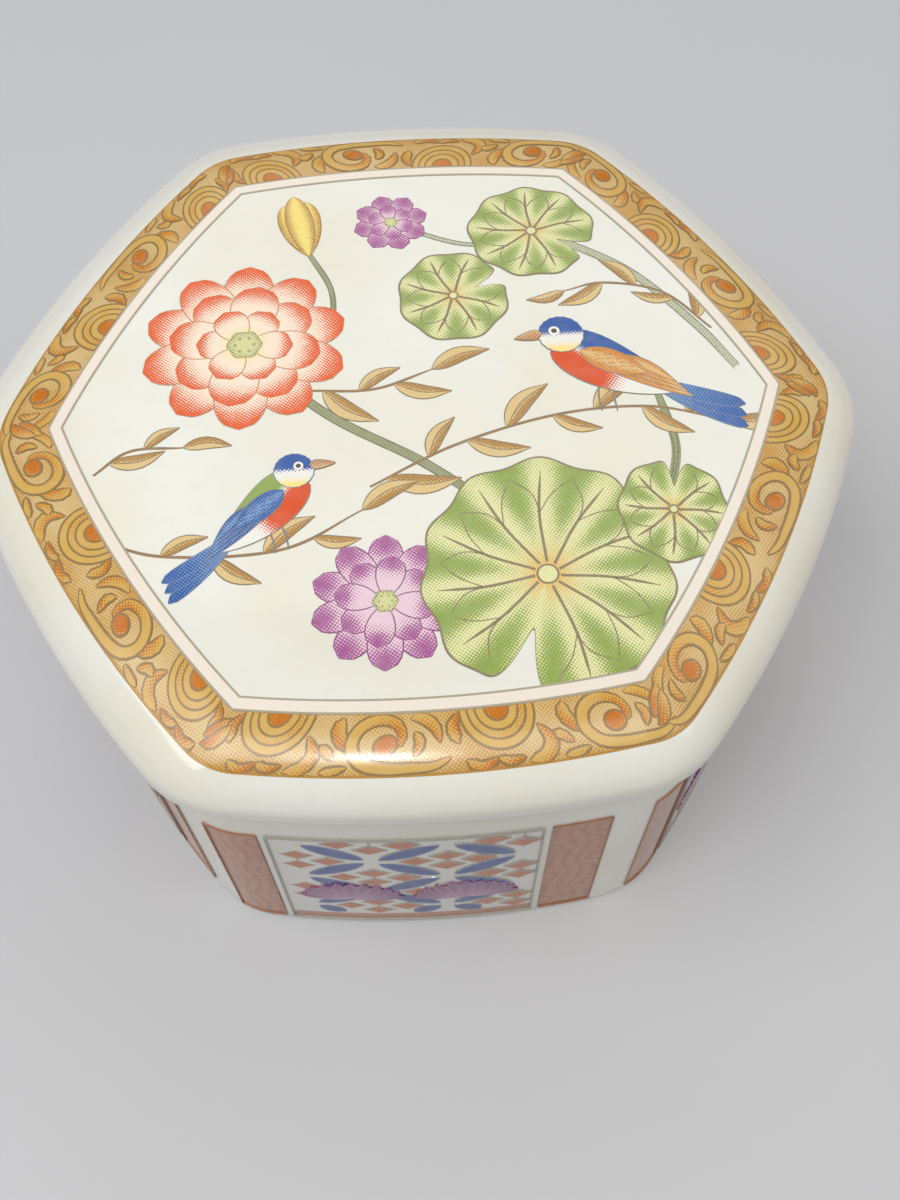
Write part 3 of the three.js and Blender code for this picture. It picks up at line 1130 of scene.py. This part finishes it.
def band_ground():
    """The gold band's ground: cream under ochre dots, in slow drifts, with a plain outer edge."""
    art = Enamel("enamel_band", on_lid, "lid")

    def cover(u, v, x, y):
        around = np.arctan2(x, -y)
        drift = np.sin(18 * around) * np.sin(7 * around + 1)
        return 0.42 + 0.22 * drift + 0.12 * np.cos(2 * math.pi * v)

    inner = outline_loop(FRAME_OUTLINE, steps=540)
    outer = outline_loop(BAND_OUTLINE, steps=540)
    art.ring(inner, outer, tint(BAND_LIGHT, BAND_GOLD, cover), columns=12)
    art.over(3)
    away = outer / np.hypot(*outer.T)[:, None]
    art.ring(outer - away * 0.3, outer, flat_tint(BAND_GOLD, BAND_LINE, 0.3))
    return art.finish()


def band_leaf(art, points, half_width, share=0.6):
    """An acanthus lobe, orange at its root."""
    shaded = tint(BAND_YELLOW, BAND_ORANGE, lambda u, v, x, y: share * (1 - 0.8 * u) + 0.25 * v)
    art.blade(points, half_width, shaded, 0.7, 0.5, pen=BAND_PEN)
    art.over()


def beside(at, way):
    """Places points along the band from at. way is 1, or -1 for a mirrored motif."""
    return lambda *points: [(at + way * x, y) for x, y in points]


def half_rosette(art, at, way):
    """Rings that hang from the frame's line round an orange heart, over a leaf that hooks away."""
    for width, height, share in ((3.8, 4.3, 0.1), (3.0, 3.3, 0.3), (2.2, 2.4, 0.12), (1.25, 1.45, 0.9)):
        def oval(angle, width=width, height=height):
            return width * height / np.hypot(height * np.cos(angle), width * np.sin(angle))

        def cover(u, v, x, y, share=share):
            return share + 0.15 * np.sin(v - way)

        shaded = tint(BAND_YELLOW, BAND_ORANGE, cover)
        centre = (at, BAND_WIDTH - 0.1)
        art.disc(centre, oval, shaded, rings=5, pen=BAND_PEN)
        art.over()
    place = beside(at, way)
    band_leaf(art, place((-3.6, 4.0), (-4.5, 2.2), (-3.6, 0.8), (-2.0, 0.5)), 0.7)
    band_leaf(art, place((3.8, 5.9), (4.6, 4.6), (4.1, 2.8)), 0.6, share=0.8)
    band_leaf(art, place((-1.8, 1.0), (-0.4, 0.7), (0.8, 1.2)), 0.45, share=0.8)
    band_leaf(art, place((0.6, 1.2), (2.2, 0.4), (3.6, 1.2)), 0.55, share=0.9)


def comma_scroll(art, at, way):
    """An S-shaped stem that curls round an orange bud and throws a leaf off its back."""
    place = beside(at, way)
    band_leaf(art, place((-5.3, 3.0), (-4.9, 4.6), (-3.6, 5.7), (-2.4, 5.6)), 0.65)
    band_leaf(art, place((2.7, 2.6), (3.9, 3.2), (4.6, 4.6), (4.2, 5.9)), 0.75, share=0.8)
    band_leaf(art, place((4.6, 1.6), (5.6, 2.6), (6.6, 2.4)), 0.55)
    band_leaf(art, place((3.2, 1.0), (4.6, 0.6), (5.8, 0.5)), 0.45, share=0.4)
    foot = place((-6.2, 1.6), (-4.6, 0.9), (-2.6, 0.8), (-0.2, 0.8), (2.0, 1.3))
    curl = place((3.1, 2.9), (2.5, 4.7), (0.7, 5.6), (-1.2, 5.1), (-1.7, 3.6), (-0.9, 2.7))
    stem = smooth(foot + curl, 0.35)

    def cover(u, v, x, y):
        return 0.05 + 0.6 * step(0.55, 1.0, u) + 0.2 * v * way

    def egg(angle):
        return 1.05 + 0.1 * np.cos(2 * angle + way)

    shaded = tint(BAND_YELLOW, BAND_ORANGE, cover)
    art.blade(stem, 0.62, shaded, 0.4, 0.3, pen=BAND_PEN)
    art.over()
    bud = tint(BAND_YELLOW, BAND_ORANGE, lambda u, v, x, y: 1.25 - 0.6 * u + 0.2 * np.cos(v - 2.2))
    centre = place((-0.1, 3.0))[0]
    art.disc(centre, egg, bud, rings=6, steps=48, pen=BAND_PEN)
    art.over()
    band_leaf(art, place((-2.8, 1.8), (-3.4, 3.2), (-2.9, 4.3)), 0.5, share=0.7)


def band_scrolls(side):
    """Half rosettes and curled scrolls in turn along one side of the band, and a corner's leaves."""
    name = f"enamel_scrolls_{side + 1}"
    art = Enamel(name, along_band(side), "lid", level_step=COARSE_LEVEL_STEP)
    half = FRAME_EDGE * math.tan(SECTOR / 2)
    pitch = 2 * half / MOTIFS_PER_SIDE
    for k in range(MOTIFS_PER_SIDE):
        art.level = MOTIF_LEVELS[k % 2]
        at = (k - (MOTIFS_PER_SIDE - 1) / 2) * pitch
        way = 1 if side % 2 else -1
        if (k + side) % 2:
            comma_scroll(art, at, way)
        else:
            half_rosette(art, at, way)
    art.level = CORNER_LEVEL
    for lift, out in ((0.8, 0.6), (0.0, -0.9)):
        shape = ((-1.6, -1.6 + lift), (-0.4, out), (0.9, 1.4 + lift))
        points = [(half + x, BAND_WIDTH / 2 + y) for x, y in shape]
        band_leaf(art, points, 0.7, share=0.9)
    return art.finish()


# ---- The base's panels ----

PANEL_HALF = 24.4
PANEL_LOW = 1.7
PANEL_HIGH = 34.2
STRIP_WIDTH = 7.3
GAP_WIDTH = 1.1
FOOT_BORDER = 2.4
LATTICE_X = 8.9
LATTICE_Y = 6.2
NEAR_X = 5.2
NEAR_Y = 4.4
NODE_X = -4.0
NODE_Y = 26.4
PANEL_TURN = -3.6
RING_PITCH = 5.4
RING_GAP = 1.7
LILY_X = 7.2
LILY_Y = 13.0
LILY_SIZE = 6.8
LILY_HEIGHT = 6.4


def block(art, left, right, low, high, tint_of, spacing=0.8):
    """A plain rectangle of enamel."""
    columns = max(int((right - left) / spacing) + 1, 2)
    rows = max(int((high - low) / spacing) + 1, 2)
    x, y = np.meshgrid(np.linspace(left, right, columns), np.linspace(low, high, rows))
    u, v = np.meshgrid(np.linspace(-1, 1, columns), np.linspace(0, 1, rows))
    art.grid(x, y, v, u, tint_of)


def border(art, left, right, low, high, colour, width):
    """A line along each edge of a rectangle."""
    for y in (low, high):
        art.stroke([(left, y), (right, y)], colour, width, (1.0, 1.0))
    for x in (left, right):
        art.stroke([(x, low), (x, high)], colour, width, (1.0, 1.0))


def lattice(art, left, right, low, high):
    """Long blue petals that cross on a diagonal grid, with orange diamonds round each crossing.
    What passes the panel's edges is left out."""
    def along_middle(u, v, x, y):
        return 1.2 - 0.6 * np.abs(v) - 0.25 * (2 * u - 1) ** 2

    petal = tint(SOFT_BLUE, PANEL_BLUE, along_middle)
    star = tint(LEAF_GOLD, DIAMOND, lambda u, v, x, y: 1.1 - 0.4 * u)

    def inside(x, y, margin):
        return left + margin < x < right - margin and low + margin < y < high - margin

    shares = np.linspace(0.1, 0.9, 9)
    for i in range(-4, 5):
        for j in range(-5, 2):
            x = NODE_X + i * LATTICE_X
            y = NODE_Y + j * LATTICE_Y
            if (i + j) % 2:
                if inside(x, y, 0.8):
                    art.stroke([(x, y - 0.9), (x, y), (x, y + 0.9)], PANEL_LINE, 0.2)
                continue
            for way in (1, -1):
                crossing = np.column_stack([x + LATTICE_X * shares, y + way * LATTICE_Y * shares])
                shown = [point for point in crossing if inside(*point, 0.2)]
                if len(shown) > 3:
                    path = [shown[0], (shown[0] + shown[-1]) / 2, shown[-1]]
                    art.blade(path, 1.35, petal, 0.6, 0.6, pen=LATTICE_PEN)
            for away_x, away_y in ((NEAR_X, 0), (-NEAR_X, 0), (0, NEAR_Y), (0, -NEAR_Y)):
                centre = (x + away_x, y + away_y)
                if inside(*centre, 1.3):
                    art.disc(centre, star_edge, star, rings=4, steps=48, pen=LATTICE_PEN)


def star_edge(angle):
    """A wide diamond with slightly hollow sides."""
    across = np.abs(np.cos(angle)) ** 0.85 / 2.1
    upright = np.abs(np.sin(angle)) ** 0.85 / 1.5
    return 1 / (across + upright)


def panel_lotus(art, centre, size, height):
    """A purple water lily, seen soft and wide, in a fan of pointed petals."""
    count = 11
    for k in (0, 10, 1, 9, 2, 8, 3, 7, 4, 6, 5):
        turn = math.pi * (k + 0.5) / count
        across = size * math.cos(turn)
        up = math.sin(turn)
        end = (centre[0] + across, centre[1] + height * (up - 0.25))
        middle = (centre[0] + 0.5 * across, centre[1] + height * (0.3 * up - 0.2))
        shaded = tint(LILY_PALE, LILY, lambda u, v, x, y: 0.45 + 0.5 * u - 0.25 * np.abs(v))
        art.blade([(centre[0], centre[1] - 0.25 * height), middle, end], size * 0.17, shaded, 0.7, 0.6)
        art.over(0.5)


def side_strip(art, left, right, low, high):
    """A rust strip printed with nested half rings that grow from its two edges in turn."""
    def cover(u, v, x, y):
        row = np.floor((y - low) / RING_PITCH)
        edge = np.where(row % 2 == 0, left, right)
        away = np.hypot(x - edge, y - low - (row + 0.5) * RING_PITCH)
        ring = step(0.1, 0.8, np.cos(2 * math.pi * away / RING_GAP))
        return 0.2 + 0.6 * ring

    block(art, left, right, low, high, tint(RUST, RUST_SHADE, cover), spacing=0.35)


def panel(side):
    """One wall's printed panel: a lattice with water lilies between two rust strips."""
    place = on_wall(side, PANEL_TURN)
    art = Enamel(f"enamel_panel_{side + 1}", place, "base", level_step=COARSE_LEVEL_STEP)
    inner = PANEL_HALF - STRIP_WIDTH
    field = inner - GAP_WIDTH
    foot = flat_tint(RUST, LILY_PALE, 0.2)
    ground = tint(PANEL_WHITE, SOFT_BLUE, lambda u, v, x, y: 0.06 + 0.05 * np.sin(x * 0.7))
    side_strip(art, -PANEL_HALF, -inner, PANEL_LOW, PANEL_HIGH)
    side_strip(art, inner, PANEL_HALF, PANEL_LOW, PANEL_HIGH)
    block(art, -field, field, PANEL_LOW, PANEL_HIGH, ground)
    art.over()
    block(art, -field, field, PANEL_LOW, PANEL_LOW + FOOT_BORDER, foot)
    lattice(art, -field, field, PANEL_LOW + FOOT_BORDER, PANEL_HIGH)
    for start, end in ((-PANEL_HALF, -inner), (inner, PANEL_HALF)):
        border(art, start, end, PANEL_LOW, PANEL_HIGH, RUST_SHADE, FINE_LINE)
    art.over(3)
    for middle in (-LILY_X, LILY_X):
        panel_lotus(art, (middle, LILY_Y), LILY_SIZE, LILY_HEIGHT)
    art.over()
    border(art, -field, field, PANEL_LOW, PANEL_HIGH, PANEL_LINE, 0.26)
    return art.finish()


# ---- The stage ----

FLOOR_HALF_WIDTH = 3.0
FLOOR_COLOUR = srgb(200, 201, 204)


def floor():
    """A pale sheet that the box stands on."""
    half = FLOOR_HALF_WIDTH
    points = np.array([[-half, -half, 0], [half, -half, 0], [half, half, 0], [-half, half, 0]])
    piece = mesh_object("floor", points, [(0, 1, 2, 3)])
    nodes = Nodes("pale_floor")
    tone = nodes.ramp(nodes.noise(nodes.object_place(), 9.0, 4.0), 0.2, 0.8)
    colour = nodes.mix(tone, opaque(FLOOR_COLOUR), opaque(FLOOR_COLOUR * 0.97))
    nodes.shade(Base_Color=colour, Roughness=0.75)
    piece.data.materials.append(nodes.material)


def soft_light(name, azimuth, elevation, distance, size, power, colour):
    """A square lamp that faces the lid's centre. Azimuth is from -Y, anticlockwise from above."""
    lamp = bpy.data.lights.new(name, "AREA")
    lamp.shape = "RECTANGLE"
    lamp.size, lamp.size_y = size
    lamp.energy = power
    lamp.color = colour
    piece = bpy.data.objects.new(name, lamp)
    bpy.context.scene.collection.objects.link(piece)
    around, up = math.radians(azimuth), math.radians(elevation)
    away = Vector((math.sin(around) * math.cos(up), -math.cos(around) * math.cos(up), math.sin(up)))
    target = Vector((0, 0, TOTAL_HEIGHT * MM))
    piece.location = target + away * distance
    piece.rotation_euler = away.to_track_quat("Z", "Y").to_euler()


LAMPS = (
    # name, azimuth, elevation, distance in metres, size in metres, watts, colour
    ("key", -70, 57, 0.75, (0.55, 0.45), 2.5, (0.98, 0.99, 1.0)),
    ("fill", 85, 50, 0.9, (0.7, 0.6), 1.4, (1.0, 0.94, 0.85)),
    ("front", -4, 72, 0.95, (0.8, 0.3), 2.2, (1.0, 0.96, 0.88)),
    ("back", 170, 50, 0.9, (0.8, 0.5), 1.2, (0.94, 0.97, 1.0)),
    ("spark", -11, 68, 0.9, (0.09, 0.055), 1.2, (1.0, 0.99, 0.96)),
)
SKY = (0.93, 0.95, 1.0)
SKY_STRENGTH = 0.22


def lights():
    for lamp in LAMPS:
        soft_light(*lamp)
    world = bpy.data.worlds.new("studio")
    world.use_nodes = True
    background = world.node_tree.nodes["Background"]
    background.inputs["Color"].default_value = opaque(SKY)
    background.inputs["Strength"].default_value = SKY_STRENGTH
    bpy.context.scene.world = world


CAMERA_PLACE = (-0.56, -93.7, 120.5)
CAMERA_YAW = 2.89
CAMERA_PITCH = 61.25
CAMERA_ROLL = -0.26
LENS = 38.8
SENSOR_HEIGHT = 36.0
NEAREST = 0.005


def camera():
    """Placed from the centre of the lid's top, in millimetres, and turned in degrees."""
    yaw, pitch, roll = (math.radians(a) for a in (CAMERA_YAW, CAMERA_PITCH, CAMERA_ROLL))
    level = math.cos(pitch)
    forward = Vector((math.sin(yaw) * level, math.cos(yaw) * level, -math.sin(pitch)))
    right = forward.cross(Vector((0, 0, 1))).normalized()
    up = right.cross(forward)
    turned_right = right * math.cos(roll) + up * math.sin(roll)
    turned_up = up * math.cos(roll) - right * math.sin(roll)
    data = bpy.data.cameras.new("camera")
    data.lens = LENS
    data.sensor_fit = "VERTICAL"
    data.sensor_height = SENSOR_HEIGHT
    data.clip_start = NEAREST
    piece = bpy.data.objects.new("camera", data)
    bpy.context.scene.collection.objects.link(piece)
    axes = Matrix((turned_right, turned_up, -forward)).transposed()
    place = Vector(CAMERA_PLACE) * MM + Vector((0, 0, TOTAL_HEIGHT * MM))
    piece.matrix_world = Matrix.Translation(place) @ axes.to_4x4()
    bpy.context.scene.camera = piece


# ---- The whole box ----

def base_is_bare(reach, height):
    """The ring that the base stands on carries no glaze."""
    foot_inner = BASE_REACH - FOOT_EDGE_RADIUS - FOOT_WIDTH
    return height < FOOT_EDGE_RADIUS / 3 and reach > foot_inner - FOOT_STEP


def lid_is_bare(reach, height):
    """The underside of the lid's rim rests on the base and carries no glaze."""
    return reach > FLANGE_REACH and height < LID_SEAT + LID_EDGE_RADIUS / 4


def porcelain():
    for name, body, node, profile, bare_zone in (
        ("base_porcelain", "base", "box_base", base_profile(), base_is_bare),
        ("lid_porcelain", "lid", "lid", lid_profile(), lid_is_bare),
    ):
        piece = turned_body(name, profile, bare_zone)
        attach(piece, body)
        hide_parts(node)


def decoration():
    field()
    frame_lines()
    band_ground()
    for side in range(SIDES):
        band_scrolls(side)
        panel(side)


camera()
floor()
lights()
porcelain()
decoration()
bpy.context.scene.view_settings.view_transform = "Standard"
